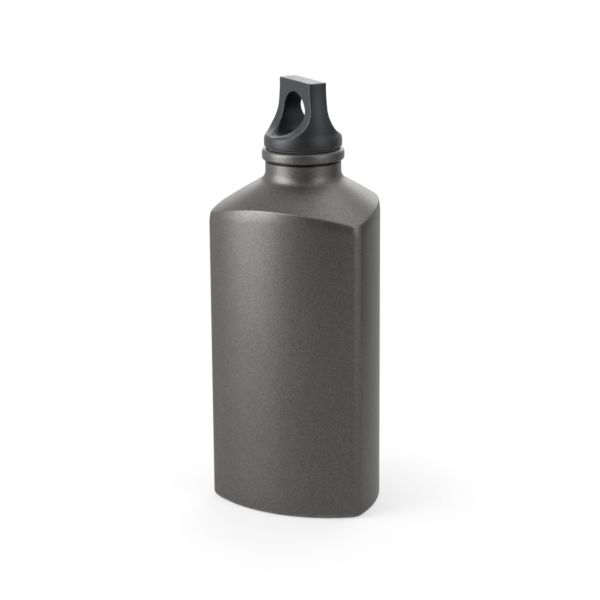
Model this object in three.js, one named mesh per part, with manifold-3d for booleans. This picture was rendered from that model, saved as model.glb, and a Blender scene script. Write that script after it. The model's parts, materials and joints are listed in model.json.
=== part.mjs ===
// A three-sided aluminium drinking bottle, closed by a loop cap that screws into its round neck.
// Millimetres, +Z up. The origin is on the ground, in the middle of the bottle's footprint.
// One corner of the body points along +X, and the loop of the closed cap stands nearly along X.
import * as THREE from 'three';
import { mergeVertices } from 'three/addons/utils/BufferGeometryUtils.js';
import Module from 'manifold-3d';

// Body section: three bowed faces that run into three rounded corners
const faceReach = 35.5; // neck axis to the middle of a face
const cornerReach = 43.9; // neck axis to the tip of a corner
const cornerRadius = 7;

// Bottle shell, drawn in one piece from sheet
const wall = 1;
const baseEdgeRadius = 2.6; // outer rounding between wall and base
const standWidth = 4; // flat ring that the bottle stands on
const baseRise = 4; // height of the dished base at its middle
const shoulderTop = 155.4; // height where the shoulder would meet the neck
const shoulderAngle = 28.6; // fall of the shoulder at the neck, in degrees
const shoulderBow = 1.5; // how far a corner of the shoulder lies below that straight fall
const faceCrease = 3; // rounding between shoulder and wall, at the middle of a face
const cornerCrease = 5; // and at the tip of a corner
const neckRadius = 17.6;
const neckFillet = 4; // hollow rounding between shoulder and neck
const lipBottom = 163.4;
const lipTop = 168.6;
const lipReach = 19.1; // outer radius of the rolled lip
const lipOuterRound = 1.9;
const lipInnerRound = 0.5;
const lipUnderRound = 1.2;

// Threaded ring fixed in the neck
const fitGap = 0.3; // clearance between pieces that touch
const ringBore = 13.45;
const ringDrop = 0.3; // top of the ring below the top of the lip
const ringHeight = 12.5;

// Seal between lip and cap
const sealThickness = 1.7;
const sealWidth = 3.9;
const sealRound = 0.5;

// Screw plug under the cap
const threadGap = 0.35; // radial clearance between plug and ring
const plugReach = 11.6; // length of plug below the top of the lip
const plugWall = 2.2;
const plugRoof = 3.6;
const plugChamfer = 0.8;
const spigotRadius = 9;
const spigotHeight = 3;

// Loop cap
const loopTurn = -4.5; // where the screw stops the loop, from the X axis, in degrees
const skirtDepth = 1.3; // skirt that hangs around the seal
const skirtWall = 0.5;
const footDraw = 0.4; // the foot of the band is drawn in this far
const bandRadius = 18.1;
const bandSwell = 2.4; // height above the foot where the band is widest
const bandShoulder = 7.5; // rounding over the top of the band
const bandHollow = 4; // hollow rounding from there into the flare
const bandHeight = 5.6; // foot to the floor of the scoops
const loopHeight = 24.8; // floor of the scoops to the top of the loop
const bandStep = 1.1; // the foot of the flare stands this far inside the band
const loopEndRadius = 14.6; // neck axis to the narrow ends of the loop
const loopThickness = 9;
const flareHeight = 20.6; // the ends of the loop swing out to the band over this height
const scoopRadius = 13.3; // hollow between a broad side of the loop and its floor
const holeRadius = 9.3;
const holeRise = 0.5; // floor of the scoops to the foot of the finger hole

const CORNERS = 3;
const THIRD = (2 * Math.PI) / CORNERS;
const CORNER_STEPS = 6;
const FACE_STEPS = 12;
const ROUND_STEPS = 5;
const SHOULDER_STEPS = 4;
const DISH_STEPS = 4;
const TURN_STEPS = 64;
const ARC_DIVISIONS = 3;
const SCOOP_DIVISIONS = 12;
const HOLE_STEPS = 48;

// Heights of the pieces stacked on the lip
const sealFoot = lipTop + fitGap;
const sealTop = sealFoot + sealThickness;
const sealSeat = sealTop + fitGap;
const capFoot = sealSeat - skirtDepth;
const loopFloor = capFoot + bandHeight;
const loopTop = loopFloor + loopHeight;

// Radii of the pieces nested in the neck and of the cap over them
const neckBore = neckRadius - wall;
const ringRadius = neckBore - fitGap;
const plugRadius = ringBore - threadGap;
const flareRadius = bandRadius - bandStep; // neck axis to the foot of the flare
const capFootRadius = bandRadius - footDraw;
const skirtBore = capFootRadius - skirtWall;
const sealRadius = skirtBore - fitGap;
const sealBore = sealRadius - sealWidth;
const grooveRadius = sealBore - fitGap;

const coated = new THREE.MeshStandardMaterial({ color: 0x6a6966, roughness: 0.45, metalness: 0.7 });
const blackPlastic = new THREE.MeshStandardMaterial({ color: 0x2b2c2e, roughness: 0.55, metalness: 0 });
const innerPlastic = new THREE.MeshStandardMaterial({ color: 0x1d1d1f, roughness: 0.5, metalness: 0 });
const ringPlastic = new THREE.MeshStandardMaterial({ color: 0xc9c8c2, roughness: 0.5, metalness: 0 });
const silicone = new THREE.MeshStandardMaterial({ color: 0x141415, roughness: 0.75, metalness: 0 });

const wasm = await Module();
wasm.setup();

// The face arcs are tangent to the corner arcs, which fixes their radius
const cornerCentre = cornerReach - cornerRadius;
const bowRadius =
  (cornerRadius ** 2 - faceReach ** 2 - cornerCentre ** 2 + cornerCentre * faceReach) /
  (cornerCentre - 2 * faceReach + 2 * cornerRadius);
const bowCentre = faceReach - bowRadius;
const bowTurn = Math.atan2(cornerCentre * Math.sin(THIRD / 2), cornerCentre * Math.cos(THIRD / 2) - bowCentre);
const cornerTurn = THIRD / 2 - bowTurn;

// Directions from the axis to points spread along the section, closer together round the corners
function sectionAngles() {
  const angles = [];
  for (let corner = 0; corner < CORNERS; corner += 1) {
    const cornerAngle = corner * THIRD;
    for (let step = 0; step < CORNER_STEPS; step += 1) {
      const turn = cornerTurn * ((2 * step) / CORNER_STEPS - 1);
      const along = cornerCentre + cornerRadius * Math.cos(turn);
      angles.push(cornerAngle + Math.atan2(cornerRadius * Math.sin(turn), along));
    }
    const faceAngle = cornerAngle + THIRD / 2;
    for (let step = 0; step < FACE_STEPS; step += 1) {
      const turn = bowTurn * ((2 * step) / FACE_STEPS - 1);
      const along = bowCentre + bowRadius * Math.cos(turn);
      angles.push(faceAngle + Math.atan2(bowRadius * Math.sin(turn), along));
    }
  }
  return angles;
}

// Distance from the axis to a circle around a centre on another ray, seen along one direction
function reachToArc(centre, radius, turn) {
  return centre * Math.cos(turn) + Math.sqrt(radius ** 2 - (centre * Math.sin(turn)) ** 2);
}

// Distance from the axis to the section, drawn in all round by an inset
function sectionReach(angle, inset) {
  const fromCorner = Math.abs(((angle + THIRD / 2) % THIRD) - THIRD / 2);
  const fromFace = THIRD / 2 - fromCorner;
  const bow = bowRadius - inset;
  const bowEnd = Math.atan2(bow * Math.sin(bowTurn), bowCentre + bow * Math.cos(bowTurn));
  if (fromFace <= bowEnd) return reachToArc(bowCentre, bow, fromFace);
  return reachToArc(cornerCentre, cornerRadius - inset, fromCorner);
}

// Replaces each outline point that has a radius by an arc tangent to its two sides
function rounded(outline) {
  const points = [];
  outline.forEach(([x, y, radius], index) => {
    const corner = new THREE.Vector2(x, y);
    if (!radius) {
      points.push(corner);
      return;
    }
    const before = outline[(index + outline.length - 1) % outline.length];
    const after = outline[(index + 1) % outline.length];
    const back = new THREE.Vector2(before[0], before[1]).sub(corner).normalize();
    const ahead = new THREE.Vector2(after[0], after[1]).sub(corner).normalize();
    const halfAngle = Math.acos(THREE.MathUtils.clamp(back.dot(ahead), -1, 1)) / 2;
    const middle = back.clone().add(ahead).normalize();
    const centre = corner.clone().addScaledVector(middle, radius / Math.sin(halfAngle));
    const start = corner.clone().addScaledVector(back, radius / Math.tan(halfAngle)).sub(centre);
    const sweep = (Math.PI - 2 * halfAngle) * Math.sign(ahead.cross(back));
    for (let step = 0; step <= ROUND_STEPS; step += 1) {
      const turned = start.clone().rotateAround(new THREE.Vector2(), (sweep * step) / ROUND_STEPS);
      points.push(turned.add(centre));
    }
  });
  return points;
}

// The shell cut along one direction: out along the base, up the outside, down the inside
function shellProfile(angle) {
  const outside = sectionReach(angle, 0);
  const inside = sectionReach(angle, wall);
  const standInner = outside - baseEdgeRadius - standWidth;
  const cornerShare = (outside - faceReach) / (cornerReach - faceReach);
  const crease = faceCrease + (cornerCrease - faceCrease) * cornerShare;
  const fall = Math.tan(THREE.MathUtils.degToRad(shoulderAngle));
  const span = cornerReach - neckRadius;
  const outerShoulder = (radius) => {
    const run = radius - neckRadius;
    return shoulderTop - fall * run - shoulderBow * (run / span) ** 2;
  };
  const innerShoulder = (radius) => {
    const slope = fall + (2 * shoulderBow * (radius - neckRadius)) / span ** 2;
    return outerShoulder(radius) - wall * Math.hypot(1, slope);
  };
  const shoulder = (from, to, heightAt) => {
    const points = [];
    for (let step = 1; step < SHOULDER_STEPS; step += 1) {
      const radius = from + ((to - from) * step) / SHOULDER_STEPS;
      points.push([radius, heightAt(radius), 0]);
    }
    return points;
  };
  const dish = (lift) => {
    const points = [];
    for (let step = 1; step < DISH_STEPS; step += 1) {
      const share = step / DISH_STEPS;
      points.push([standInner * share, baseRise * (1 - share ** 2) + lift, 0]);
    }
    return points;
  };
  return rounded([
    ...dish(0),
    [standInner, 0, 0],
    [outside, 0, baseEdgeRadius],
    [outside, outerShoulder(outside), crease],
    ...shoulder(outside, neckRadius, outerShoulder),
    [neckRadius, outerShoulder(neckRadius), neckFillet],
    [neckRadius, lipBottom, 0],
    [lipReach, lipBottom, lipUnderRound],
    [lipReach, lipTop, lipOuterRound],
    [neckBore, lipTop, lipInnerRound],
    [neckBore, innerShoulder(neckBore), neckFillet + wall],
    ...shoulder(neckBore, inside, innerShoulder),
    [inside, innerShoulder(inside), crease - wall],
    [inside, wall, baseEdgeRadius - wall],
    [standInner, wall, 0],
    ...dish(wall).reverse(),
  ]);
}

// Closed skin through profiles set side by side around the axis, with a point on the axis at each end
function loftAround(angles, profileAt, firstHeight, lastHeight) {
  const profiles = angles.map(profileAt);
  const rows = profiles[0].length;
  const columns = angles.length;
  const positions = [0, 0, firstHeight];
  for (let row = 0; row < rows; row += 1) {
    angles.forEach((angle, column) => {
      const { x: radius, y: height } = profiles[column][row];
      positions.push(radius * Math.cos(angle), radius * Math.sin(angle), height);
    });
  }
  positions.push(0, 0, lastHeight);
  const at = (row, column) => 1 + row * columns + (column % columns);
  const last = 1 + rows * columns;
  const index = [];
  for (let column = 0; column < columns; column += 1) {
    index.push(0, at(0, column + 1), at(0, column));
    for (let row = 0; row + 1 < rows; row += 1) {
      index.push(at(row, column), at(row, column + 1), at(row + 1, column + 1));
      index.push(at(row, column), at(row + 1, column + 1), at(row + 1, column));
    }
    index.push(at(rows - 1, column), at(rows - 1, column + 1), last);
  }
  const geometry = new THREE.BufferGeometry();
  geometry.setAttribute('position', new THREE.Float32BufferAttribute(positions, 3));
  geometry.setIndex(index);
  geometry.computeVertexNormals();
  return geometry;
}

// Solid of revolution about the neck axis from an outline of radius and height
function turned(points) {
  return new THREE.LatheGeometry(points, TURN_STEPS).rotateX(Math.PI / 2);
}

// Ring of revolution: the outline closes on itself
function turnedRing(outline) {
  const points = rounded(outline);
  return turned([...points, points[0]]);
}

function toSolid(geometry) {
  const bare = geometry.clone();
  bare.deleteAttribute('normal');
  bare.deleteAttribute('uv');
  const merged = mergeVertices(bare);
  const corners = merged.index.array;
  const triangles = [];
  for (let i = 0; i < corners.length; i += 3) {
    const [a, b, c] = corners.slice(i, i + 3);
    if (a !== b && b !== c && c !== a) triangles.push(a, b, c);
  }
  const vertProperties = new Float32Array(merged.attributes.position.array);
  return new wasm.Manifold(new wasm.Mesh({ numProp: 3, vertProperties, triVerts: new Uint32Array(triangles) }));
}

function toGeometry(solid) {
  const mesh = solid.getMesh();
  const geometry = new THREE.BufferGeometry();
  geometry.setAttribute('position', new THREE.BufferAttribute(new Float32Array(mesh.vertProperties), 3));
  geometry.setIndex(new THREE.BufferAttribute(new Uint32Array(mesh.triVerts), 1));
  geometry.computeVertexNormals();
  return geometry;
}

function bottleShell() {
  return loftAround(sectionAngles(), shellProfile, baseRise, baseRise + wall);
}

// Plastic ring in the mouth of the neck, which carries the female thread
function threadRing() {
  const top = lipTop - ringDrop;
  const bottom = top - ringHeight;
  return turnedRing([
    [ringBore, bottom, 0],
    [ringRadius, bottom, 0],
    [ringRadius, top, 0],
    [ringBore, top, 0],
  ]);
}

// Flat silicone ring in the groove at the root of the plug
function sealRing() {
  return turnedRing([
    [sealBore, sealFoot, 0],
    [sealRadius, sealFoot, sealRound],
    [sealRadius, sealTop, sealRound],
    [sealBore, sealTop, 0],
  ]);
}

// Hollow screw plug, open below, with a groove for the seal and a spigot that is pressed into the cap
function screwPlug() {
  const bottom = lipTop - plugReach;
  const bore = plugRadius - plugWall;
  const grooveFoot = sealFoot - fitGap;
  const spigotTop = sealTop + spigotHeight;
  return turned(
    [
      [0, sealTop - plugRoof],
      [bore, sealTop - plugRoof],
      [bore, bottom],
      [plugRadius - plugChamfer, bottom],
      [plugRadius, bottom + plugChamfer],
      [plugRadius, grooveFoot],
      [grooveRadius, grooveFoot],
      [grooveRadius, sealTop],
      [spigotRadius, sealTop],
      [spigotRadius, spigotTop],
      [0, spigotTop],
    ].map(([radius, height]) => new THREE.Vector2(radius, height)),
  );
}

// Bell-shaped blank of the cap: a rounded band that runs over a hollow into the flare up to the loop's ends
function capBlank() {
  const socketRadius = spigotRadius + fitGap;
  const socketTop = sealTop + spigotHeight + fitGap;
  const swellHeight = capFoot + bandSwell;
  const swellRadius = (bandSwell ** 2 + footDraw ** 2) / (2 * footDraw);
  const shoulderTurn = Math.acos(1 - (bandRadius - flareRadius) / (bandShoulder + bandHollow));
  const flareFoot = swellHeight + (bandShoulder + bandHollow) * Math.sin(shoulderTurn);
  const flareTop = flareFoot + flareHeight;
  const flareDraw = flareRadius - loopEndRadius;
  const flareArc = (flareHeight ** 2 + flareDraw ** 2) / (4 * flareDraw);
  const flareTurn = Math.asin(flareHeight / 2 / flareArc);
  const outline = new THREE.Path();
  outline.moveTo(0, socketTop);
  outline.lineTo(socketRadius, socketTop);
  outline.lineTo(socketRadius, sealSeat);
  outline.lineTo(skirtBore, sealSeat);
  outline.lineTo(skirtBore, capFoot);
  outline.lineTo(capFootRadius, capFoot);
  outline.absarc(bandRadius - swellRadius, swellHeight, swellRadius, -Math.asin(bandSwell / swellRadius), 0, false);
  outline.absarc(bandRadius - bandShoulder, swellHeight, bandShoulder, 0, shoulderTurn, false);
  outline.absarc(flareRadius + bandHollow, flareFoot, bandHollow, Math.PI + shoulderTurn, Math.PI, true);
  outline.absarc(flareRadius - flareArc, flareFoot, flareArc, 0, flareTurn, false);
  outline.absarc(loopEndRadius + flareArc, flareTop, flareArc, Math.PI + flareTurn, Math.PI, true);
  outline.lineTo(loopEndRadius, loopTop);
  outline.lineTo(0, loopTop);
  return toSolid(turned(outline.getPoints(ARC_DIVISIONS)));
}

// What is cleared away beside one broad side of the loop, down to the floor
function scoopCut() {
  const half = loopThickness / 2;
  const beyond = 2 * bandRadius;
  const above = loopTop + bandHeight;
  const outline = new THREE.Shape();
  outline.moveTo(half, above);
  outline.lineTo(half, loopFloor + scoopRadius);
  outline.absarc(half + scoopRadius, loopFloor + scoopRadius, scoopRadius, Math.PI, 1.5 * Math.PI, false);
  outline.lineTo(beyond, loopFloor);
  outline.lineTo(beyond, above);
  const cut = new THREE.ExtrudeGeometry(outline, {
    depth: 2 * beyond,
    bevelEnabled: false,
    curveSegments: SCOOP_DIVISIONS,
  });
  cut.translate(0, 0, -beyond);
  const alongX = new THREE.Vector3(1, 0, 0);
  const alongY = new THREE.Vector3(0, 1, 0);
  const alongZ = new THREE.Vector3(0, 0, 1);
  return cut.applyMatrix4(new THREE.Matrix4().makeBasis(alongY, alongZ, alongX));
}

// Round finger hole through the loop and the scoops on both sides of it
function holeCut() {
  const depth = 4 * bandRadius;
  const cut = new THREE.CylinderGeometry(holeRadius, holeRadius, depth, HOLE_STEPS);
  return cut.translate(0, 0, loopFloor + holeRise + holeRadius);
}

function loopCap() {
  const scoop = scoopCut();
  const opposite = scoop.clone().rotateZ(Math.PI);
  const solid = capBlank().subtract(toSolid(scoop)).subtract(toSolid(opposite)).subtract(toSolid(holeCut()));
  return toGeometry(solid);
}

function piece(name, geometry, material) {
  const mesh = new THREE.Mesh(geometry, material);
  mesh.name = name;
  return mesh;
}

// The section reaches further to its corner than to the face behind it, so the neck stands off the middle
const bottle = new THREE.Group();
bottle.position.x = (faceReach - cornerReach) / 2;
bottle.add(piece('bottle_shell', bottleShell(), coated));
bottle.add(piece('thread_ring', threadRing(), ringPlastic));

const cap = new THREE.Group();
cap.rotation.z = THREE.MathUtils.degToRad(loopTurn);
cap.add(piece('cap_body', loopCap(), blackPlastic));
cap.add(piece('cap_plug', screwPlug(), innerPlastic));
cap.add(piece('seal_ring', sealRing(), silicone));
bottle.add(cap);

export default bottle;
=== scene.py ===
import json
import math

import bpy
from mathutils import Matrix, Vector


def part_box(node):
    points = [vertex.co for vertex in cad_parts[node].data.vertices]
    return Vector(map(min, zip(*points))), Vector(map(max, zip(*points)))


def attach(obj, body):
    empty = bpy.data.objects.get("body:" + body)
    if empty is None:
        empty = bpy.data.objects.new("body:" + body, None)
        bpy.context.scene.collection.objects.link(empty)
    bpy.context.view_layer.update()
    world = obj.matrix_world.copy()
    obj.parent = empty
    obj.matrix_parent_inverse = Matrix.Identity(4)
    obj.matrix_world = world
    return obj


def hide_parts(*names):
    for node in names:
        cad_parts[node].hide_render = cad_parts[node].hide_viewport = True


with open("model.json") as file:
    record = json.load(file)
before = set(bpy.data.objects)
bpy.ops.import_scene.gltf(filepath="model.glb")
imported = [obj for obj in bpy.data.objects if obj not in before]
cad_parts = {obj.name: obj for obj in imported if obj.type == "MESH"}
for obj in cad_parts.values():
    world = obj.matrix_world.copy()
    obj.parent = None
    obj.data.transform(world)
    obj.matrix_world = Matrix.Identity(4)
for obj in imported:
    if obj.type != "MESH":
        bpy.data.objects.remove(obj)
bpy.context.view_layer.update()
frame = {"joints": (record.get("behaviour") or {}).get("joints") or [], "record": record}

# Bottle shell: one thin piece of aluminium, drawn from sheet to a section of three bowed faces, with a
# sloping shoulder, a round neck and a lip rolled over outwards. It stands on a ring round its dished base.
# Outside it has a satin metallic powder coat, and inside a clear drinking lacquer.
mm = 0.001
shell_low, shell_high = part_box("bottle_shell")
cap_turn = next(joint for joint in frame["joints"] if joint["name"] == "cap_turn")
neck_x = cap_turn["pos_m"][0]
face_reach = neck_x - shell_low.x
corner_reach = shell_high.x - neck_x
corner_radius = 7 * mm
corner_centre = corner_reach - corner_radius
third = math.tau / 3
bow_radius = (
    corner_radius**2 - face_reach**2 - corner_centre**2 + corner_centre * face_reach
) / (corner_centre - 2 * face_reach + 2 * corner_radius)
bow_centre = face_reach - bow_radius
bow_turn = math.atan2(
    corner_centre * math.sin(third / 2), corner_centre * math.cos(third / 2) - bow_centre
)

sheet = 1 * mm
base_edge_round = 2.6 * mm
stand_width = 4 * mm
stand_round = 6 * mm
base_rise = 4 * mm
shoulder_top = 155.05 * mm
shoulder_fall = math.tan(math.radians(28.6))
shoulder_bow = 1.9 * mm
bow_start = 0.25  # share of the way from the neck to the edge
bow_end = 0.80
face_crease = 1.4 * mm
corner_crease = 2 * mm
crease_lean = 0.7 * mm
lean_height = 3.2 * mm
lean_round = 22 * mm
neck_radius = 17.6 * mm
neck_fillet = 5.2 * mm
lip_top = shell_high.z
lip_height = 5.2 * mm
lip_bottom = lip_top - lip_height
lip_reach = 19.1 * mm
lip_outer_round = 1.9 * mm
lip_under_round = 1.2 * mm
lip_inner_round = 0.5 * mm
curl_gap = 0.9 * mm
curl_depth = 0.6 * mm
curl_edge_round = 0.1 * mm
level_wall = 0.3 * mm
coat_depth = 2 * mm
coat_end = lip_top - coat_depth
shell_columns = 288
longest_step = 6 * mm

# How much each edge of an outline is rubbed by handling, from 0 to 1, or -1 where shade is painted into it
RUBBED = 1.0
HANDLED = 0.5
FRESH = 0.0
SHADE_PAINTED = -1.0


def rounded(outline, steps=10):
    """Points (radius, rub, height) of an outline of corners (radius, height, rounding, rub)."""
    points = []
    for index, (radius, height, rounding, rub_and_shade) in enumerate(outline):
        corner = Vector((radius, height))
        if not rounding:
            points.append((radius, rub_and_shade, height))
            continue
        before = Vector(outline[index - 1][:2])
        after = Vector(outline[(index + 1) % len(outline)][:2])
        back = (before - corner).normalized()
        ahead = (after - corner).normalized()
        half_angle = back.angle(ahead) / 2
        set_back = rounding / math.tan(half_angle)
        centre = corner + (back + ahead).normalized() * (rounding / math.sin(half_angle))
        start = corner + back * set_back - centre
        sweep = -math.copysign(math.pi - 2 * half_angle, back.x * ahead.y - back.y * ahead.x)
        for step in range(steps + 1):
            spoke = Matrix.Rotation(sweep * step / steps, 2) @ start
            # A rub fades out towards the ends of its arc, while a mark of painted shade is kept whole
            edge_mark = rub_and_shade * math.sin(math.pi * step / steps) if rub_and_shade > 0 else rub_and_shade
            points.append((centre.x + spoke.x, edge_mark, centre.y + spoke.y))
    return points


def filled(points, longest, guide=None):
    """The same points with more between them, where the guide, or else the points, steps too far."""
    guide = guide or points
    closer = [points[0]]
    for before, after, guide_before, guide_after in zip(points, points[1:], guide, guide[1:]):
        gap = math.hypot(guide_after[0] - guide_before[0], guide_after[2] - guide_before[2])
        parts = max(1, math.ceil(gap / longest))
        for part in range(1, parts + 1):
            share = part / parts
            closer.append(tuple(a + (b - a) * share for a, b in zip(before, after)))
    return closer


def shell_profiles(outside, crease):
    """The outer and the inner half of the shell, cut where its section reaches this far from the axis."""
    inside = outside - sheet
    neck_bore = neck_radius - sheet
    stand_inner = outside - base_edge_round - stand_width
    span = corner_reach - neck_radius

    def dish(lift, steps=8):
        shares = [step / steps for step in range(steps)]
        return [(stand_inner * s, base_rise * (1 - s * s) + lift, 0, FRESH) for s in shares]

    def over(radius):
        run = radius - neck_radius
        return shoulder_top - shoulder_fall * run - shoulder_bow * (run / span) ** 2

    def under(radius):
        slope = shoulder_fall + 2 * shoulder_bow * (radius - neck_radius) / span**2
        return over(radius) - sheet * math.hypot(1, slope)

    def shoulder(first, last, height_at, steps=8):
        shares = [first + (last - first) * step / steps for step in range(steps + 1)]
        radii = [neck_radius + (outside - neck_radius) * share for share in shares]
        return [(radius, height_at(radius), 0, FRESH) for radius in radii]

    outer = rounded([
        *dish(0),
        (stand_inner, 0, stand_round, HANDLED),
        (outside, 0, base_edge_round, RUBBED),
        (outside, over(outside - crease_lean) - lean_height, lean_round, FRESH),
        (outside - crease_lean, over(outside - crease_lean), crease, HANDLED),
        *shoulder(bow_end, bow_start, over),
        (neck_radius, over(neck_radius), neck_fillet, FRESH),
        (neck_radius, lip_bottom - curl_gap - level_wall, 0, FRESH),
        (neck_radius, lip_bottom - curl_gap, curl_edge_round, FRESH),
        # The slot under the lip gets painted shade, a near black laid on the coat there
        (neck_radius - curl_depth, lip_bottom - curl_gap, curl_edge_round, SHADE_PAINTED),
        (neck_radius - curl_depth, lip_bottom, curl_edge_round, SHADE_PAINTED),
        (lip_reach, lip_bottom, lip_under_round, FRESH),
        (lip_reach, lip_top, lip_outer_round, FRESH),
        (neck_bore, lip_top, lip_inner_round, HANDLED),
        (neck_bore, coat_end, 0, FRESH),
    ])
    inner = rounded([
        (neck_bore, coat_end, 0, FRESH),
        (neck_bore, under(neck_bore), neck_fillet + sheet, FRESH),
        *shoulder(bow_start, bow_end, under),
        (inside - crease_lean, under(inside - crease_lean), crease, FRESH),
        (inside, under(inside - crease_lean) - lean_height, lean_round, FRESH),
        (inside, sheet, base_edge_round - sheet, FRESH),
        (stand_inner, sheet, 0, FRESH),
        *reversed(dish(sheet)),
    ])
    return outer, inner


class Amount:
    """A number that a node tree works out point by point. Arithmetic on it adds Math nodes."""

    def __init__(self, tree, socket):
        self.tree = tree
        self.socket = socket

    def math(self, operation, *others):
        node = self.tree.nodes.new("ShaderNodeMath")
        node.operation = operation
        for socket, value in zip(node.inputs, (self, *others)):
            join(self.tree, value, socket)
        return Amount(self.tree, node.outputs[0])

    def __add__(self, other):
        return self.math("ADD", other)

    def __sub__(self, other):
        return self.math("SUBTRACT", other)

    def __mul__(self, other):
        return self.math("MULTIPLY", other)

    def __truediv__(self, other):
        return self.math("DIVIDE", other)

    def __neg__(self):
        return self.math("MULTIPLY", -1.0)

    def __rsub__(self, other):
        return -self + other

    __radd__ = __add__
    __rmul__ = __mul__


def join(tree, value, socket):
    """Feeds a socket from an amount, from another socket or with a plain value."""
    if isinstance(value, Amount):
        value = value.socket
    if isinstance(value, bpy.types.NodeSocket):
        tree.links.new(value, socket)
    else:
        socket.default_value = value


def add_node(tree, kind, inputs=None, **settings):
    """A new node with its settings made and its inputs fed by name."""
    node = tree.nodes.new(kind)
    for name, value in settings.items():
        setattr(node, name, value)
    for name, value in (inputs or {}).items():
        join(tree, value, next(s for s in node.inputs if s.name == name and s.enabled))
    return node


def output(node, name):
    """One output of a node, by name."""
    return next(s for s in node.outputs if s.name == name and s.enabled)


def hypotenuse(a, b):
    return (a * a + b * b).math("SQRT")


def blended(a, b, share):
    return a + (b - a) * share


def held_to(amount, least, most):
    return amount.math("MAXIMUM", least).math("MINIMUM", most)


def shape_tree(name, input_kinds):
    """A Geometry Nodes tree with named inputs, and those inputs."""
    tree = bpy.data.node_groups.new(name, "GeometryNodeTree")
    tree.interface.new_socket("Geometry", in_out="INPUT", socket_type="NodeSocketGeometry")
    for input_name, kind in input_kinds.items():
        tree.interface.new_socket(input_name, in_out="INPUT", socket_type="NodeSocket" + kind)
    tree.interface.new_socket("Geometry", in_out="OUTPUT", socket_type="NodeSocketGeometry")
    start = tree.nodes.new("NodeGroupInput")
    sizes = {name: Amount(tree, output(start, name)) for name in input_kinds}
    return tree, output(start, "Geometry"), sizes


def end_tree(tree, geometry, material):
    """Closes a tree: real geometry, shaded smooth, in its material."""
    real = add_node(tree, "GeometryNodeRealizeInstances", {"Geometry": geometry})
    smooth = add_node(tree, "GeometryNodeSetShadeSmooth", {"Geometry": output(real, "Geometry")})
    dressed = add_node(
        tree, "GeometryNodeSetMaterial", {"Geometry": output(smooth, "Geometry"), "Material": material}
    )
    end = tree.nodes.new("NodeGroupOutput")
    tree.links.new(output(dressed, "Geometry"), end.inputs["Geometry"])
    return dressed, end


def grown(name, tree, start_points, values):
    """A new object whose plain mesh is what the tree makes of the start points."""
    start = bpy.data.meshes.new(name)
    start.from_pydata(start_points, [], [])
    made = bpy.data.objects.new(name, start)
    bpy.context.scene.collection.objects.link(made)
    modifier = made.modifiers.new("form", "NODES")
    modifier.node_group = tree
    sockets = {item.name: item.identifier for item in tree.interface.items_tree if item.in_out == "INPUT"}
    for input_name, value in values.items():
        modifier[sockets[input_name]] = value
    evaluated = made.evaluated_get(bpy.context.evaluated_depsgraph_get())
    mesh = bpy.data.meshes.new_from_object(evaluated)
    made.modifiers.remove(modifier)
    made.data = mesh
    mesh.name = name
    return made


def spun_grid(tree, columns, rows):
    """A grid to be wrapped round an axis: its mesh, the share of a turn and the row of each point."""
    grid = add_node(
        tree,
        "GeometryNodeMeshGrid",
        {"Size X": 1.0, "Size Y": 1.0, "Vertices X": columns + 1, "Vertices Y": rows},
    )
    place = add_node(tree, "GeometryNodeInputPosition")
    parts = add_node(tree, "ShaderNodeSeparateXYZ", {"Vector": output(place, "Position")})
    share = Amount(tree, output(parts, "X")) + 0.5
    row = ((Amount(tree, output(parts, "Y")) + 0.5) * (rows - 1)).math("ROUND")
    return output(grid, "Mesh"), share, row


def profile_point(tree, profile, row):
    """Radius, rub and height of one point of the profile that the tree was given."""
    place = add_node(tree, "GeometryNodeInputPosition")
    sample = add_node(
        tree,
        "GeometryNodeSampleIndex",
        {"Geometry": profile, "Value": output(place, "Position"), "Index": row},
        data_type="FLOAT_VECTOR",
        domain="POINT",
    )
    parts = add_node(tree, "ShaderNodeSeparateXYZ", {"Vector": output(sample, "Value")})
    return [Amount(tree, output(parts, axis)) for axis in "XYZ"]


def stored(tree, mesh, name, value):
    """The mesh with a value kept under a name at each of its points."""
    kept = add_node(
        tree,
        "GeometryNodeStoreNamedAttribute",
        {"Geometry": mesh, "Name": name, "Value": value},
        data_type="FLOAT",
        domain="POINT",
    )
    return output(kept, "Geometry")


def wrapped(tree, mesh, neck, turn, radius, height, rub_and_shade):
    """The grid set round the neck's axis, with its seam and poles closed and its rub kept."""
    place = add_node(
        tree,
        "ShaderNodeCombineXYZ",
        {"X": neck + radius * turn.math("COSINE"), "Y": radius * turn.math("SINE"), "Z": height},
    )
    moved = add_node(
        tree,
        "GeometryNodeSetPosition",
        {"Geometry": stored(tree, mesh, "rub_and_shade", rub_and_shade), "Position": output(place, "Vector")},
    )
    closed = add_node(
        tree,
        "GeometryNodeMergeByDistance",
        {"Geometry": output(moved, "Geometry"), "Distance": 0.001 * mm},
    )
    return output(closed, "Geometry")


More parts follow.
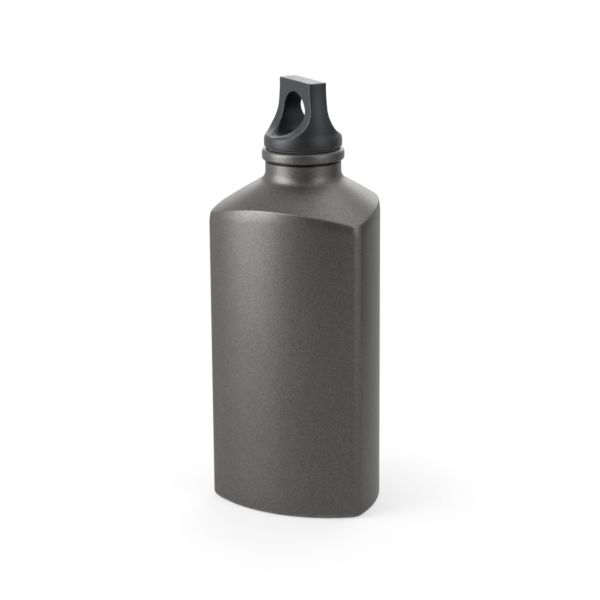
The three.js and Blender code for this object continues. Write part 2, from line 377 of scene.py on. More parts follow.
def three_sided_tree():
    """Wraps two profiles round the neck: at each point of the section they are blended by its reach."""
    tree, profile, size = shape_tree(
        "three-sided shell",
        {
            "Neck X": "Float",
            "Face Reach": "Float",
            "Corner Reach": "Float",
            "Bow Centre": "Float",
            "Bow Radius": "Float",
            "Bow Turn": "Float",
            "Corner Centre": "Float",
            "Corner Radius": "Float",
            "Columns": "Int",
            "Rows": "Int",
            "Inner Row": "Int",
            "Coat": "Material",
            "Lacquer": "Material",
        },
    )
    mesh, share, row = spun_grid(tree, size["Columns"], size["Rows"])
    facing = share * math.tau
    from_corner = (facing + third / 2).math("FLOORED_MODULO", third) - third / 2
    from_face = facing.math("FLOORED_MODULO", third) - third / 2
    on_face = from_face.math("ABSOLUTE").math("LESS_THAN", size["Bow Turn"])
    centre = blended(size["Corner Centre"], size["Bow Centre"], on_face)
    radius = blended(size["Corner Radius"], size["Bow Radius"], on_face)
    offset = blended(from_corner, from_face, on_face)
    along = centre + radius * offset.math("COSINE")
    across = radius * offset.math("SINE")
    turn = facing - offset + across.math("ARCTAN2", along)
    reach = (hypotenuse(along, across) - size["Face Reach"]) / (size["Corner Reach"] - size["Face Reach"])
    at_face = profile_point(tree, profile, row)
    at_corner = profile_point(tree, profile, row + size["Rows"])
    around, rub_and_shade, height = [blended(f, c, reach) for f, c in zip(at_face, at_corner)]
    marked = stored(tree, mesh, "inside", row.math("GREATER_THAN", size["Inner Row"]))
    shell = wrapped(tree, marked, size["Neck X"], turn, around, height, rub_and_shade)
    dressed, end = end_tree(tree, shell, size["Coat"])
    kept = add_node(tree, "GeometryNodeInputNamedAttribute", {"Name": "inside"}, data_type="FLOAT")
    share_for_one_corner = 0.2
    lacquered = add_node(
        tree,
        "GeometryNodeSetMaterial",
        {
            "Geometry": output(dressed, "Geometry"),
            "Selection": Amount(tree, output(kept, "Attribute")).math("GREATER_THAN", share_for_one_corner),
            "Material": size["Lacquer"],
        },
    )
    tree.links.new(output(lacquered, "Geometry"), end.inputs["Geometry"])
    return tree


def shader_group(name, inputs, outputs):
    """A shader node group with named inputs, given as (kind, value), and named outputs."""
    group = bpy.data.node_groups.new(name, "ShaderNodeTree")
    for input_name, (kind, value) in inputs.items():
        socket = group.interface.new_socket(input_name, in_out="INPUT", socket_type="NodeSocket" + kind)
        if value is not None:
            socket.default_value = value
    for output_name in outputs:
        group.interface.new_socket(output_name, in_out="OUTPUT", socket_type="NodeSocketFloat")
    start = group.nodes.new("NodeGroupInput")
    end = group.nodes.new("NodeGroupOutput")
    return group, {input_name: Amount(group, output(start, input_name)) for input_name in inputs}, end


def noise(tree, place, size, detail=2.0, roughness=0.5):
    """Cloudy values about 0.5, with patches of about this size in metres."""
    node = add_node(
        tree,
        "ShaderNodeTexNoise",
        {"Vector": place, "Scale": 1.0 / size, "Detail": detail, "Roughness": roughness},
    )
    return Amount(tree, output(node, "Fac"))


def speckle_group():
    """Fine grain of a coat or a moulded skin, with single flakes and slow clouding under it."""
    group, given, end = shader_group(
        "fine speckle",
        {"Place": ("Vector", None), "Grain Size": ("Float", 0.5 * mm), "Flake Size": ("Float", 0.4 * mm)},
        ["Grain", "Flakes", "Clouding"],
    )
    place = given["Place"]
    grain = add_node(
        group,
        "ShaderNodeTexNoise",
        {
            "Vector": place,
            "Scale": given["Grain Size"].math("POWER", -1.0),
            "Detail": 2.0,
            "Roughness": 0.6,
        },
    )
    flakes = add_node(
        group,
        "ShaderNodeTexVoronoi",
        {"Vector": place, "Scale": given["Flake Size"].math("POWER", -1.0)},
    )
    colour_parts = add_node(group, "ShaderNodeSeparateColor", {"Color": output(flakes, "Color")})
    join(group, output(grain, "Fac"), end.inputs["Grain"])
    join(group, output(colour_parts, "Red"), end.inputs["Flakes"])
    join(group, noise(group, place, size=30 * mm, detail=3.0), end.inputs["Clouding"])
    return group


def wear_group():
    """Rubbed edges, wiping marks and settled dust, all broken up so that none is even."""
    group, given, end = shader_group(
        "handling wear",
        {"Place": ("Vector", None), "Rub": ("Float", 0.0), "Amount": ("Float", 0.5)},
        ["Rubbed", "Wiped", "Dust"],
    )
    place = given["Place"]
    patch_contrast = 1.6
    patch_spared = 0.35
    upright_strokes = (1.0, 1.0, 0.25)
    dust_spared = 0.58
    dust_contrast = 6.0
    patchy = noise(group, place, size=6 * mm, detail=4.0, roughness=0.6) * patch_contrast - patch_spared
    rubbed = given["Rub"] * patchy * given["Amount"]
    stretched = add_node(group, "ShaderNodeMapping", {"Vector": place, "Scale": upright_strokes})
    wiped = noise(group, output(stretched, "Vector"), size=8 * mm, detail=3.0)
    dust = (noise(group, place, size=1.2 * mm, detail=5.0, roughness=0.7) - dust_spared) * dust_contrast
    join(group, held_to(rubbed, 0.0, 1.0), end.inputs["Rubbed"])
    join(group, wiped, end.inputs["Wiped"])
    join(group, held_to(dust, 0.0, 1.0), end.inputs["Dust"])
    return group


fine_speckle = speckle_group()
handling_wear = wear_group()


def new_material(name):
    """An empty material: its tree, its shader and its Object coordinates."""
    material = bpy.data.materials.new(name)
    material.use_nodes = True
    tree = material.node_tree
    shader = tree.nodes["Principled BSDF"]
    place = output(add_node(tree, "ShaderNodeTexCoord"), "Object")
    return material, tree, shader, place


def use_group(tree, group, inputs):
    """One of the shared groups, placed in a material: its outputs by name."""
    node = add_node(tree, "ShaderNodeGroup", inputs, node_tree=group)
    return {socket.name: Amount(tree, socket) for socket in node.outputs}


def colour_between(tree, share, dark, light):
    """A colour between two others."""
    node = add_node(
        tree,
        "ShaderNodeMix",
        {"Factor": share, "A": (*dark, 1.0), "B": (*light, 1.0)},
        data_type="RGBA",
    )
    return output(node, "Result")


def colour_over(tree, share, under, over):
    """A colour laid over what a socket gives."""
    node = add_node(
        tree, "ShaderNodeMix", {"Factor": share, "A": under, "B": (*over, 1.0)}, data_type="RGBA"
    )
    return output(node, "Result")


def bumped(tree, shader, height, strength, distance):
    """Raises the surface by a height."""
    bump = add_node(tree, "ShaderNodeBump", {"Strength": strength, "Distance": distance, "Height": height})
    tree.links.new(output(bump, "Normal"), shader.inputs["Normal"])


def carried(tree, name):
    """A value that the points of a mesh carry, such as the rub of its rounded edges."""
    return Amount(tree, output(add_node(tree, "ShaderNodeAttribute", attribute_name=name), "Fac"))


def gunmetal_coat():
    """Satin powder coat with metal flakes: neighbouring flakes differ, edges are rubbed a little, and
    painted shade darkens the slot under the lip.
    """
    material, tree, shader, place = new_material("gunmetal coat")
    dark_flake = (0.0445, 0.0432, 0.0415)
    light_flake = (0.112, 0.109, 0.1045)
    bare_metal = (0.40, 0.395, 0.385)
    # near black painted shade for the slot under the lip
    grime_and_painted_shade = (0.006, 0.0055, 0.005)
    satin = 0.30
    rub_and_shade = carried(tree, "rub_and_shade")
    speckle = use_group(
        tree, fine_speckle, {"Place": place, "Grain Size": 0.7 * mm, "Flake Size": 0.45 * mm}
    )
    wear = use_group(tree, handling_wear, {"Place": place, "Rub": rub_and_shade, "Amount": 0.30})
    tone = speckle["Flakes"] * 0.45 + speckle["Grain"] * 0.35 + speckle["Clouding"] * 0.20
    flaked = colour_between(tree, tone, dark_flake, light_flake)
    edge_mark = colour_over(tree, wear["Rubbed"], flaked, bare_metal)
    # Where the rub is below 0, painted shade is laid over the coat
    join(tree, colour_over(tree, (-rub_and_shade).math("MAXIMUM", 0.0), edge_mark, grime_and_painted_shade), shader.inputs["Base Color"])
    shader.inputs["Metallic"].default_value = 0.85
    shader.inputs["Specular Tint"].default_value = (0.80, 0.80, 0.80, 1.0)
    shader.inputs["Coat Weight"].default_value = 0.06
    shader.inputs["Coat Roughness"].default_value = 0.35
    rough = speckle["Grain"] * 0.12 + wear["Wiped"] * 0.10 + satin
    join(tree, rough, shader.inputs["Roughness"])
    bumped(tree, shader, speckle["Grain"] + speckle["Flakes"] * 0.4, 0.25, 0.05 * mm)
    return material


def clear_lacquer():
    """Drawn aluminium seen through a thin clear lacquer, faintly golden and streaked by the drawing."""
    material, tree, shader, place = new_material("inner lacquer")
    metal = (0.58, 0.56, 0.50)
    golden = (0.66, 0.62, 0.52)
    satin = 0.28
    upright_streaks = (1.0, 1.0, 0.06)
    drawn = add_node(tree, "ShaderNodeMapping", {"Vector": place, "Scale": upright_streaks})
    speckle = use_group(
        tree,
        fine_speckle,
        {"Place": output(drawn, "Vector"), "Grain Size": 0.6 * mm, "Flake Size": 1.5 * mm},
    )
    tone = speckle["Grain"] * 0.6 + speckle["Clouding"] * 0.4
    join(tree, colour_between(tree, tone, metal, golden), shader.inputs["Base Color"])
    shader.inputs["Metallic"].default_value = 0.9
    join(tree, speckle["Grain"] * 0.2 + satin, shader.inputs["Roughness"])
    bumped(tree, shader, speckle["Grain"], 0.15, 0.05 * mm)
    return material


face_halves = shell_profiles(face_reach, face_crease)
corner_halves = shell_profiles(corner_reach, corner_crease)
face_outer, face_inner = [filled(f, longest_step, c) for f, c in zip(face_halves, corner_halves)]
corner_outer, corner_inner = [filled(c, longest_step) for c in corner_halves]
face_line = face_outer + face_inner[1:]
corner_line = corner_outer + corner_inner[1:]
shell = grown(
    "shell",
    three_sided_tree(),
    face_line + corner_line,
    {
        "Neck X": neck_x,
        "Face Reach": face_reach,
        "Corner Reach": corner_reach,
        "Bow Centre": bow_centre,
        "Bow Radius": bow_radius,
        "Bow Turn": bow_turn,
        "Corner Centre": corner_centre,
        "Corner Radius": corner_radius,
        "Columns": shell_columns,
        "Rows": len(face_line),
        "Inner Row": len(face_outer) - 1,
        "Coat": gunmetal_coat(),
        "Lacquer": clear_lacquer(),
    },
)
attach(shell, "bottle")
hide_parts("bottle_shell")

# Threaded ring: moulded in natural plastic and fixed in the mouth of the neck, just below the rolled lip.
# Its bore carries the female screw thread that the plug of the cap runs in.
ring_low, ring_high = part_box("thread_ring")
ring_radius = (ring_high.x - ring_low.x) / 2
ring_groove = 14.0 * mm
ring_crest = 12.9 * mm
ring_edge_round = 0.4 * mm
thread_pitch = frame["record"]["behaviour"]["couplings"][0]["ratio"] * math.tau
thread_run_out = 0.8 * mm
thread_step = 0.2 * mm
tooth_flank = 2.5
tooth_root = 0.75
on_wall_within = 0.05 * mm
turned_columns = 160
half_turn = 0.5


def turned_tree():
    """Wraps one profile round the neck. A screw thread rises from the wall that has the thread's radius."""
    tree, profile, size = shape_tree(
        "turned piece",
        {
            "Neck X": "Float",
            "Columns": "Int",
            "Rows": "Int",
            "Thread Wall": "Float",
            "Thread Height": "Float",
            "Thread Pitch": "Float",
            "Thread Phase": "Float",
            "Thread Foot": "Float",
            "Thread Top": "Float",
            "Run Out": "Float",
            "Finish": "Material",
        },
    )
    mesh, share, row = spun_grid(tree, size["Columns"], size["Rows"])
    radius, rub_and_shade, height = profile_point(tree, profile, row)
    along = (height / size["Thread Pitch"] - share + size["Thread Phase"]).math("FLOORED_MODULO", 1.0)
    tooth = held_to((along * 2.0 - 1.0).math("ABSOLUTE") * tooth_flank - tooth_root, 0.0, 1.0)
    from_foot = (height - size["Thread Foot"]) / size["Run Out"]
    from_top = (size["Thread Top"] - height) / size["Run Out"]
    fade = held_to(from_foot.math("MINIMUM", from_top), 0.0, 1.0)
    on_wall = (radius - size["Thread Wall"]).math("ABSOLUTE").math("LESS_THAN", on_wall_within)
    raised = radius + size["Thread Height"] * tooth * fade * on_wall
    piece = wrapped(tree, mesh, size["Neck X"], share * math.tau, raised, height, rub_and_shade)
    end_tree(tree, piece, size["Finish"])
    return tree


def natural_plastic():
    """Uncoloured plastic, a little milky, with the fine grain of its mould."""
    material, tree, shader, place = new_material("natural plastic")
    shade = (0.50, 0.50, 0.46)
    milk = (0.62, 0.62, 0.58)
    grime_and_painted_shade = (0.34, 0.33, 0.29)
    satin = 0.35
    speckle = use_group(
        tree, fine_speckle, {"Place": place, "Grain Size": 0.4 * mm, "Flake Size": 0.8 * mm}
    )
    wear = use_group(tree, handling_wear, {"Place": place, "Rub": carried(tree, "rub_and_shade"), "Amount": 0.3})
    milky = colour_between(tree, speckle["Clouding"] * 0.7 + speckle["Grain"] * 0.3, shade, milk)
    join(tree, colour_over(tree, wear["Dust"] * 0.25, milky, grime_and_painted_shade), shader.inputs["Base Color"])
    shader.inputs["Subsurface Weight"].default_value = 0.15
    shader.inputs["Subsurface Radius"].default_value = (1.2 * mm, 1.0 * mm, 0.8 * mm)
    join(tree, speckle["Grain"] * 0.15 + wear["Wiped"] * 0.1 + satin, shader.inputs["Roughness"])
    bumped(tree, shader, speckle["Grain"], 0.2, 0.05 * mm)
    return material


turned_piece = turned_tree()


def turned(name, line, finish, thread):
    """A piece turned round the neck from one line, with its thread if it has one."""
    return grown(
        name,
        turned_piece,
        line,
        {
            "Neck X": neck_x,
            "Columns": turned_columns,
            "Rows": len(line),
            "Thread Pitch": thread_pitch,
            "Run Out": thread_run_out,
            "Finish": finish,
            **thread,
        },
    )


ring_outline = rounded(
    [
        (ring_groove, ring_low.z, ring_edge_round, FRESH),
        (ring_radius, ring_low.z, ring_edge_round, FRESH),
        (ring_radius, ring_high.z, ring_edge_round, FRESH),
        (ring_groove, ring_high.z, ring_edge_round, HANDLED),
    ],
    steps=5,
)
ring_line = filled([*ring_outline, ring_outline[0]], thread_step)
ring = turned(
    "threaded_ring",
    ring_line,
    natural_plastic(),
    {
        "Thread Wall": ring_groove,
        "Thread Height": ring_crest - ring_groove,
        "Thread Phase": half_turn,
        "Thread Foot": ring_low.z + thread_run_out,
        "Thread Top": ring_high.z - thread_run_out,
    },
)
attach(ring, "bottle")
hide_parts("thread_ring")

# Screw plug: a hollow black moulding, open below, that carries the male thread of the cap.
# Over its collar it has a groove for the seal, and its spigot is pressed into a socket under the loop.
plug_low, plug_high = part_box("cap_plug")
seal_low, seal_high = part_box("seal_ring")
fit_gap = 0.3 * mm
seal_bore = 13.0 * mm
plug_core = 12.5 * mm
plug_crest = 13.7 * mm
plug_collar = (plug_high.x - plug_low.x) / 2
plug_groove = seal_bore - fit_gap
collar_top = seal_low.z - fit_gap
collar_height = 1.0 * mm
collar_foot = collar_top - collar_height
plug_wall = 2.2 * mm
plug_bore = plug_collar - plug_wall
plug_chamfer = 0.8 * mm
plug_roof = 3.6 * mm
plug_edge_round = 0.3 * mm
plug_hollow_round = 4 * plug_edge_round
spigot_radius = 9.0 * mm


def black_moulding(name, dark, light, dusty, grain_size, roughness, shine):
    """Black plastic out of a finely etched mould: grained, uneven in gloss and dusty here and there."""
    material, tree, shader, place = new_material(name)
    cool_gloss = (0.87, 0.93, 1.0, 1.0)
    speckle = use_group(
        tree, fine_speckle, {"Place": place, "Grain Size": grain_size, "Flake Size": 1.6 * grain_size}
    )
    wear = use_group(tree, handling_wear, {"Place": place, "Rub": carried(tree, "rub_and_shade"), "Amount": 0.5})
    tone = speckle["Grain"] * 0.5 + speckle["Flakes"] * 0.2 + speckle["Clouding"] * 0.3
    moulded = colour_between(tree, tone, dark, light)
    settled = wear["Dust"] * 0.12 + wear["Rubbed"] * 0.25
    join(tree, colour_over(tree, settled, moulded, dusty), shader.inputs["Base Color"])
    rough = speckle["Grain"] * 0.14 + wear["Wiped"] * 0.12 - wear["Rubbed"] * 0.10 + roughness
    join(tree, rough, shader.inputs["Roughness"])
    shader.inputs["Specular IOR Level"].default_value = shine
    shader.inputs["Specular Tint"].default_value = cool_gloss
    bumped(tree, shader, speckle["Grain"] + speckle["Flakes"] * 0.3, 0.35, 0.04 * mm)
    return material


plug_line = filled(
    rounded(
        [
            (0, seal_high.z - plug_roof, 0, FRESH),
            (plug_bore, seal_high.z - plug_roof, plug_hollow_round, FRESH),
            (plug_bore, plug_low.z, plug_edge_round, FRESH),
            (plug_core - plug_chamfer, plug_low.z, plug_edge_round, HANDLED),
            (plug_core, plug_low.z + plug_chamfer, plug_edge_round, FRESH),
            (plug_core, collar_foot, 0, FRESH),
            (plug_collar, collar_foot, plug_edge_round, FRESH),
            (plug_collar, collar_top, plug_edge_round, FRESH),
            (plug_groove, collar_top, 0, FRESH),
            (plug_groove, seal_high.z, plug_edge_round, FRESH),
            (spigot_radius, seal_high.z, 0, FRESH),
            (spigot_radius, plug_high.z, plug_edge_round, FRESH),
            (0, plug_high.z, 0, FRESH),
        ],
        steps=5,
    ),
    thread_step,
)
plug_black = black_moulding(
    "plug black",
    dark=(0.016, 0.016, 0.017),
    light=(0.030, 0.030, 0.032),
    dusty=(0.11, 0.11, 0.11),
    grain_size=0.3 * mm,
    roughness=0.30,
    shine=0.5,
)
plug = turned(
    "screw_plug",
    plug_line,
    plug_black,
    {
        "Thread Wall": plug_core,
        "Thread Height": plug_crest - plug_core,
        "Thread Phase": 0.0,
        "Thread Foot": plug_low.z + plug_chamfer,
        "Thread Top": collar_foot,
    },
)
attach(plug, "cap")
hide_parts("cap_plug")

# Seal: a flat ring of soft black silicone, slipped into the groove of the plug. It is pressed between the
# lip and the cap, and a low bead round the edge of its underside does the sealing.
seal_radius = (seal_high.x - seal_low.x) / 2
seal_bead = seal_low.z - lip_top
seal_bead_width = 1.2 * mm
seal_round = 0.5 * mm
seal_bore_round = 0.25 * mm
seal_step = 1 * mm


def soft_silicone():
    """Matt black silicone with a bloom of fine dust that clings to it."""
    material, tree, shader, place = new_material("silicone black")
    deep = (0.012, 0.012, 0.012)
    bloom = (0.028, 0.028, 0.029)
    lint = (0.16, 0.16, 0.155)
    matt_roughness = 0.58
    speckle = use_group(
        tree, fine_speckle, {"Place": place, "Grain Size": 0.25 * mm, "Flake Size": 0.5 * mm}
    )
    wear = use_group(tree, handling_wear, {"Place": place, "Rub": carried(tree, "rub_and_shade"), "Amount": 0.4})
    matt = colour_between(tree, speckle["Clouding"], deep, bloom)
    join(tree, colour_over(tree, wear["Dust"] * 0.3, matt, lint), shader.inputs["Base Color"])
    join(tree, speckle["Grain"] * 0.15 + matt_roughness, shader.inputs["Roughness"])
    shader.inputs["Sheen Weight"].default_value = 0.1
    bumped(tree, shader, speckle["Grain"], 0.2, 0.03 * mm)
    return material


seal_outline = rounded(
    [
        (seal_bore, seal_low.z, seal_bore_round, FRESH),
        (seal_radius - seal_bead_width - seal_bead, seal_low.z, 0, FRESH),
        (seal_radius - seal_bead_width, lip_top, seal_bead / 2, FRESH),
        (seal_radius, lip_top, seal_bead, HANDLED),
        (seal_radius, seal_high.z, seal_round, FRESH),
        (seal_bore, seal_high.z, seal_bore_round, FRESH),
    ],
    steps=5,
)
seal_line = filled([*seal_outline, seal_outline[0]], seal_step)
no_thread = {"Thread Height": 0.0}
seal = turned("lip_seal", seal_line, soft_silicone(), no_thread)
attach(seal, "seal")
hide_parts("seal_ring")

# Loop cap: one black moulding, a bell drawn in to a flat loop. Each broad side is scooped out down to the
# band that the hand turns, and a round finger hole goes through. Below, it has a seat for the seal and a
# socket for the plug's spigot.
cap_low, cap_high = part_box("cap_body")
band_height = 5.6 * mm
loop_floor = cap_low.z + band_height
hole_radius = 9.7 * mm
hole_rise = 0.1 * mm
hole_rim_share = 0.9
cap_sizes = {
    "Neck X": neck_x,
    "Loop Turn": math.radians(-4.5),
    "Foot": cap_low.z,
    "Foot Draw": 0.15 * mm,
    "Foot Round": 0.3 * mm,
    "Swell": 2.4 * mm,
    "Band Radius": (cap_high.x - cap_low.x) / 2,
    "Shoulder": 7.5 * mm,
    "Hollow": 4 * mm,
    "Flare Radius": 17 * mm,
    "Flare": 20.6 * mm,
    "End Radius": 14.6 * mm,
    "Floor": loop_floor,
    "Top": cap_high.z,
    "Half": 4.5 * mm,
    "Scoop": 13.3 * mm,
    "Hole Height": loop_floor + hole_rise + hole_radius,
    "Hole Radius": hole_radius,
    "Edge": 0.5 * mm,
    "Rim": 1.6 * mm,
    "Rim Drop": 2 * mm,
    "Rim Rise": 6 * mm,
    "Seat Radius": seal_radius + fit_gap,
    "Seat Height": seal_high.z + fit_gap,
    "Socket Radius": spigot_radius + fit_gap,
    "Socket Height": plug_high.z + fit_gap,
    "Inner Edge": 0.2 * mm,
}
cap_voxel = 0.35 * mm
cap_margin = 1 * mm
settling_rounds = 3
slope_step = 0.02 * mm
least_slope = 0.1
edge_step = 0.4 * mm
shelter_reach = 14 * mm


def met(a, b, rounding):
    """What lies within both of two forms, with the edge where they meet rounded over."""
    beyond = hypotenuse((a + rounding).math("MAXIMUM", 0.0), (b + rounding).math("MAXIMUM", 0.0))
    return a.math("MAXIMUM", b).math("MINIMUM", -rounding) + beyond


def joined(a, b, fillet):
    """What lies within either of two forms, with a hollow fillet where they meet."""
    near = hypotenuse((fillet - a).math("MAXIMUM", 0.0), (fillet - b).math("MAXIMUM", 0.0))
    return a.math("MINIMUM", b).math("MAXIMUM", fillet) - near


def sagged(radius, offset):
    """How far an arc of this radius falls away from its tangent over an offset."""
    return radius - (radius * radius - offset * offset).math("SQRT")


def loop_cap_form():
    """A node group for how far a place lies outside the cap."""
    form = bpy.data.node_groups.new("loop cap form", "GeometryNodeTree")
    form.interface.new_socket("Place", in_out="INPUT", socket_type="NodeSocketVector")
    for name in cap_sizes:
        form.interface.new_socket(name, in_out="INPUT", socket_type="NodeSocketFloat")
    form.interface.new_socket("Distance", in_out="OUTPUT", socket_type="NodeSocketFloat")
    start = form.nodes.new("NodeGroupInput")
    size = {name: Amount(form, output(start, name)) for name in cap_sizes}
    parts = add_node(form, "ShaderNodeSeparateXYZ", {"Vector": output(start, "Place")})
    x, y, z = [Amount(form, output(parts, axis)) for axis in "XYZ"]
    x = x - size["Neck X"]
    radius = hypotenuse(x, y)
    turn_cosine = size["Loop Turn"].math("COSINE")
    turn_sine = size["Loop Turn"].math("SINE")
    along = x * turn_cosine + y * turn_sine
    across = y * turn_cosine - x * turn_sine
    above_floor = z - size["Floor"]

    # The band swells from its foot, goes over a round shoulder and a hollow, and runs up the flare
    swell_height = size["Foot"] + size["Swell"]
    bend = size["Shoulder"] + size["Hollow"]
    bend_cosine = 1.0 - (size["Band Radius"] - size["Flare Radius"]) / bend
    bend_sine = (1.0 - bend_cosine * bend_cosine).math("SQRT")
    flare_foot = swell_height + bend * bend_sine
    below_swell = ((swell_height - z) / size["Swell"]).math("MAXIMUM", 0.0)
    over_shoulder = held_to(z - swell_height, 0.0, size["Shoulder"] * bend_sine)
    into_hollow = held_to(flare_foot - z, 0.0, size["Hollow"] * bend_sine)
    rise = held_to((z - flare_foot) / size["Flare"], 0.0, 1.0)
    reach = (
        size["Band Radius"]
        - below_swell * below_swell * size["Foot Draw"]
        - sagged(size["Shoulder"], over_shoulder)
        - size["Hollow"] * (1.0 - bend_cosine)
        + sagged(size["Hollow"], into_hollow)
        - rise * rise * (3.0 - rise * 2.0) * (size["Flare Radius"] - size["End Radius"])
    )
    bell = met(radius - reach, z - size["Top"], size["Edge"])
    bell = met(bell, size["Foot"] - z, size["Foot Round"])

    # The rims of the scoops are softest low down, where the thumb turns the cap
    climb = (above_floor + size["Rim Drop"]) / (size["Rim Drop"] + size["Rim Rise"])
    softness = held_to(1.0 - climb, 0.0, 1.0)
    rim = size["Edge"] + (size["Rim"] - size["Edge"]) * softness * softness
    slab = across.math("ABSOLUTE") - size["Half"]
    cap = met(bell, joined(slab, above_floor, size["Scoop"]), rim)
    hole = hypotenuse(along, z - size["Hole Height"]) - size["Hole Radius"]
    cap = met(cap, -hole, rim * hole_rim_share)

    seat = (radius - size["Seat Radius"]).math("MAXIMUM", z - size["Seat Height"])
    socket = (radius - size["Socket Radius"]).math("MAXIMUM", z - size["Socket Height"])
    cap = met(met(cap, -seat, size["Inner Edge"]), -socket, size["Inner Edge"])
    end = form.nodes.new("NodeGroupOutput")
    join(form, cap, end.inputs["Distance"])
    return form


def vector_math(tree, operation, *values):
    """A Vector Math node fed in order: its one output."""
    node = tree.nodes.new("ShaderNodeVectorMath")
    node.operation = operation
    for socket, value in zip([s for s in node.inputs if s.enabled], values):
        join(tree, value, socket)
    return next(s for s in node.outputs if s.enabled)


def distance_at(tree, form, size, place):
    """How far a place lies outside the form."""
    sizes = {name: size[name] for name in cap_sizes}
    node = add_node(tree, "GeometryNodeGroup", {"Place": place, **sizes}, node_tree=form)
    return Amount(tree, output(node, "Distance"))


def distance_from(tree, form, size, place, direction, step):
    """How far outside the form a place gets after a step in a direction."""
    there = vector_math(tree, "MULTIPLY_ADD", direction, (step, step, step), place)
    return distance_at(tree, form, size, there)


def distances_around(tree, form, size, place, step):
    """The distances at four places that stand round one, evenly, each with its direction."""
    directions = [(1, -1, -1), (-1, -1, 1), (-1, 1, -1), (1, 1, 1)]
    return [(way, distance_from(tree, form, size, place, way, step)) for way in directions]


def settled(tree, form, size, mesh):
    """The mesh evened out, and then set back on the form along its steepest way."""
    place = output(add_node(tree, "GeometryNodeInputPosition"), "Position")
    evened = add_node(
        tree, "GeometryNodeBlurAttribute", {"Value": place, "Iterations": 2}, data_type="FLOAT_VECTOR"
    )
    calm = add_node(
        tree, "GeometryNodeSetPosition", {"Geometry": mesh, "Position": output(evened, "Value")}
    )
    slope = None
    for direction, distance in distances_around(tree, form, size, place, slope_step):
        pull = vector_math(tree, "SCALE", direction, distance / (4 * slope_step))
        slope = pull if slope is None else vector_math(tree, "ADD", slope, pull)
    steepness = Amount(tree, vector_math(tree, "DOT_PRODUCT", slope, slope)).math("MAXIMUM", least_slope)
    back = -distance_at(tree, form, size, place) / steepness
    moved = add_node(
        tree,
        "GeometryNodeSetPosition",
        {"Geometry": output(calm, "Geometry"), "Offset": vector_math(tree, "SCALE", slope, back)},
    )
    return output(moved, "Geometry")


def loop_cap_tree():
    """Fills a block of space with the form, skins it and settles the skin on the form."""
    kinds = {name: "Float" for name in [*cap_sizes, "Voxel", "Margin"]}
    tree, _, size = shape_tree("loop cap", {**kinds, "Finish": "Material"})
    form = loop_cap_form()
    place = output(add_node(tree, "GeometryNodeInputPosition"), "Position")
    reach = size["Band Radius"] + size["Margin"]
    low = {"X": size["Neck X"] - reach, "Y": -reach, "Z": size["Foot"] - size["Margin"]}
    high = {"X": size["Neck X"] + reach, "Y": reach, "Z": size["Top"] + size["Margin"]}
    surface = 0.5
    inside = surface - distance_at(tree, form, size, place) / size["Margin"]
    counts = {axis: ((high[axis] - low[axis]) / size["Voxel"]).math("ROUND") for axis in "XYZ"}
    block = add_node(
        tree,
        "GeometryNodeVolumeCube",
        {
            "Density": inside,
            "Min": output(add_node(tree, "ShaderNodeCombineXYZ", low), "Vector"),
            "Max": output(add_node(tree, "ShaderNodeCombineXYZ", high), "Vector"),
            **{f"Resolution {axis}": count for axis, count in counts.items()},
        },
    )
    skin = add_node(
        tree,
        "GeometryNodeVolumeToMesh",
        {"Volume": output(block, "Volume"), "Threshold": surface, "Adaptivity": 0.0},
        resolution_mode="GRID",
    )
    mesh = output(skin, "Mesh")
    for _ in range(settling_rounds):
        mesh = settled(tree, form, size, mesh)

    # Edges that stand out are rubbed, and a place of the loop that faces another one close by is sheltered:
    # its gloss is later taken down there as painted shade
    sharpness = None
    for _, distance in distances_around(tree, form, size, place, edge_step):
        sharpness = distance if sharpness is None else sharpness + distance
    normal = output(add_node(tree, "GeometryNodeInputNormal"), "Normal")
    room = distance_from(tree, form, size, place, normal, shelter_reach) / shelter_reach
    height = Amount(tree, output(add_node(tree, "ShaderNodeSeparateXYZ", {"Vector": place}), "Z"))
    in_loop = height.math("GREATER_THAN", size["Floor"])
    mesh = stored(tree, mesh, "rub_and_shade", held_to(sharpness / (2 * edge_step), 0.0, 1.0))
    mesh = stored(tree, mesh, "shelter", held_to((1.0 - room) * in_loop, 0.0, 1.0))
    end_tree(tree, mesh, size["Finish"])
    return tree


def loop_black():
    """The black of the loop, which shines less in the finger hole and other sheltered places: painted shade
    taken out of its gloss.
    """
    shine = 0.40
    material = black_moulding(
        "loop black",
        dark=(0.002, 0.0021, 0.0024),
        light=(0.0045, 0.0047, 0.0053),
        dusty=(0.05, 0.051, 0.055),
        grain_size=0.35 * mm,
        roughness=0.33,
        shine=shine,
    )
    tree = material.node_tree
    shader = tree.nodes["Principled BSDF"]
    # painted shade: the gloss is taken down where the loop is sheltered
    join(tree, (1.0 - carried(tree, "shelter")) * shine, shader.inputs["Specular IOR Level"])
    return material


loop_cap = grown(
    "loop_cap",
    loop_cap_tree(),
    [],
    {
        **cap_sizes,
        "Voxel": cap_voxel,
        "Margin": cap_margin,
        "Finish": loop_black(),
    },
)
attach(loop_cap, "cap")
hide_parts("cap_body")

# Floor and backdrop: a plain white floor that runs out into a white surround. To the camera and in
# reflections the floor is mostly an even white of its own, so that the shadow on it stays faint.
white = (1.0, 1.0, 1.0, 1.0)
floor_grey = (0.52, 0.52, 0.52, 1.0)
floor_roughness = 0.9
floor_half = 6.0
floor_evenness = 0.52
shadow_middle = Vector((-0.0015, -0.0295))
shadow_reach = 0.042
shadow_fade = 0.07
surround_light = 0.7


def staged_panel(name, corners, material):
    """A flat panel of the studio."""
    mesh = bpy.data.meshes.new(name)
    mesh.from_pydata(corners, [], [(0, 1, 2, 3)])
    mesh.materials.append(material)
    panel = bpy.data.objects.new(name, mesh)
    bpy.context.scene.collection.objects.link(panel)
    return panel


def looked_at(tree):
    """1 for what the camera sees, straight or in a reflection, and 0 for what only lights the bottle."""
    paths = add_node(tree, "ShaderNodeLightPath")
    seen = Amount(tree, output(paths, "Is Camera Ray"))
    seen = seen.math("MAXIMUM", output(paths, "Is Glossy Ray"))
    return seen.math("MAXIMUM", output(paths, "Is Transmission Ray"))


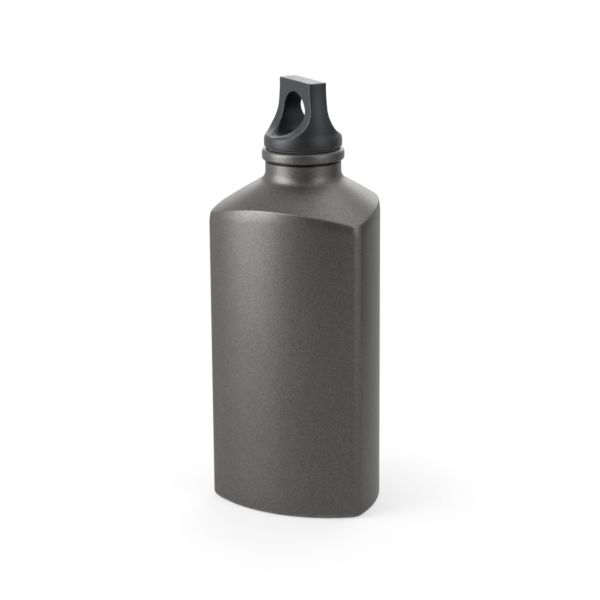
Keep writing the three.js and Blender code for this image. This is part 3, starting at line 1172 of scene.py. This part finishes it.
floor_material, floor_tree, floor_shader, floor_place = new_material("floor white")
floor_shader.inputs["Base Color"].default_value = floor_grey
floor_shader.inputs["Roughness"].default_value = floor_roughness
even_white = add_node(floor_tree, "ShaderNodeEmission", {"Color": white, "Strength": 1.0})
floor_mix = floor_tree.nodes.new("ShaderNodeMixShader")
floor_parts = add_node(floor_tree, "ShaderNodeSeparateXYZ", {"Vector": floor_place})
away = hypotenuse(
    Amount(floor_tree, output(floor_parts, "X")) - shadow_middle.x,
    Amount(floor_tree, output(floor_parts, "Y")) - shadow_middle.y,
)
fading = held_to((away - shadow_reach) / shadow_fade, 0.0, 1.0)
join(floor_tree, looked_at(floor_tree) * blended(floor_evenness, 1.0, fading), floor_mix.inputs[0])
join(floor_tree, output(floor_shader, "BSDF"), floor_mix.inputs[1])
join(floor_tree, output(even_white, "Emission"), floor_mix.inputs[2])
join(floor_tree, output(floor_mix, "Shader"), floor_tree.nodes["Material Output"].inputs["Surface"])
staged_panel(
    "floor",
    [
        (-floor_half, -floor_half, 0),
        (floor_half, -floor_half, 0),
        (floor_half, floor_half, 0),
        (-floor_half, floor_half, 0),
    ],
    floor_material,
)

world = bpy.data.worlds.new("surround")
bpy.context.scene.world = world
world.use_nodes = True
surround = world.node_tree
backdrop = surround.nodes["Background"]
backdrop.inputs["Color"].default_value = white
join(surround, looked_at(surround) * (1.0 - surround_light) + surround_light, backdrop.inputs["Strength"])

# Light: a tall soft box close on the left, a weaker one to the right of the camera, a wide one behind and
# one overhead. Two dark cards, behind the camera and on the right, are seen only in the gloss of the
# bottle, where they shade the near side and the strip of the next face.
camera_azimuth = math.radians(56.0)
bottle_middle = Vector((neck_x, 0, 100 * mm))
card_black = (0.02, 0.02, 0.02, 1.0)


def from_camera(turn, distance, height):
    """A point at an angle round the bottle, where 0 is towards the camera and 90 is to its right."""
    angle = camera_azimuth + math.radians(turn)
    return Vector((neck_x + math.sin(angle) * distance, -math.cos(angle) * distance, height))


def soft_box(name, place, width, height, brightness):
    """A rectangular soft box that faces the bottle."""
    lamp = bpy.data.lights.new(name, "AREA")
    lamp.shape = "RECTANGLE"
    lamp.size = width
    lamp.size_y = height
    lamp.energy = brightness * math.pi * width * height
    box = bpy.data.objects.new(name, lamp)
    bpy.context.scene.collection.objects.link(box)
    box.location = place
    box.rotation_euler = (bottle_middle - place).to_track_quat("-Z", "Y").to_euler()
    box.visible_camera = False


soft_box("left box", from_camera(-69, 0.55, 0.3), width=0.46, height=0.8, brightness=7.5)
soft_box("right box", from_camera(52, 0.9, 0.55), width=0.25, height=1.15, brightness=5.0)
soft_box("back box", from_camera(172, 0.9, 0.46), width=1.0, height=0.4, brightness=3.5)
soft_box("top box", from_camera(140, 0.42, 1.05), width=0.65, height=0.65, brightness=2.35)

card_material, _, card_shader, _ = new_material("card black")
card_shader.inputs["Base Color"].default_value = card_black


def dark_card(name, first_turn, last_turn, distance, height):
    """A black card that stands on the floor, from one angle round the bottle to another."""
    card = staged_panel(
        name,
        [
            from_camera(first_turn, distance, 0.0),
            from_camera(last_turn, distance, 0.0),
            from_camera(last_turn, distance, height),
            from_camera(first_turn, distance, height),
        ],
        card_material,
    )
    card.visible_camera = False
    card.visible_diffuse = False
    card.visible_shadow = False
    card.visible_transmission = False


dark_card("front card", first_turn=-32, last_turn=32, distance=0.75, height=2.2)
dark_card("right card", first_turn=92, last_turn=116, distance=0.32, height=0.23)

# Camera: a long lens nearly a metre off, above the cap and looking down a little. It is turned to see
# one face of the bottle whole and a strip of the next.
image_width = 600
focal_pixels = 2023.2
camera_distance = 920.6 * mm
camera_height = 340.9 * mm
side_step = -1.95 * mm
pitch = math.radians(14.92)
roll = -0.0072
camera = bpy.data.cameras.new("camera")
camera.sensor_width = 36
camera.lens = focal_pixels / image_width * camera.sensor_width
camera_object = bpy.data.objects.new("camera", camera)
bpy.context.scene.collection.objects.link(camera_object)
camera_place = from_camera(0, camera_distance, camera_height)
camera_place += Vector((math.cos(camera_azimuth), math.sin(camera_azimuth), 0)) * side_step
camera_object.matrix_world = (
    Matrix.Translation(camera_place)
    @ Matrix.Rotation(camera_azimuth, 4, "Z")
    @ Matrix.Rotation(math.pi / 2 - pitch, 4, "X")
    @ Matrix.Rotation(roll, 4, "Z")
)
bpy.context.scene.camera = camera_object
bpy.context.scene.view_settings.view_transform = "Standard"
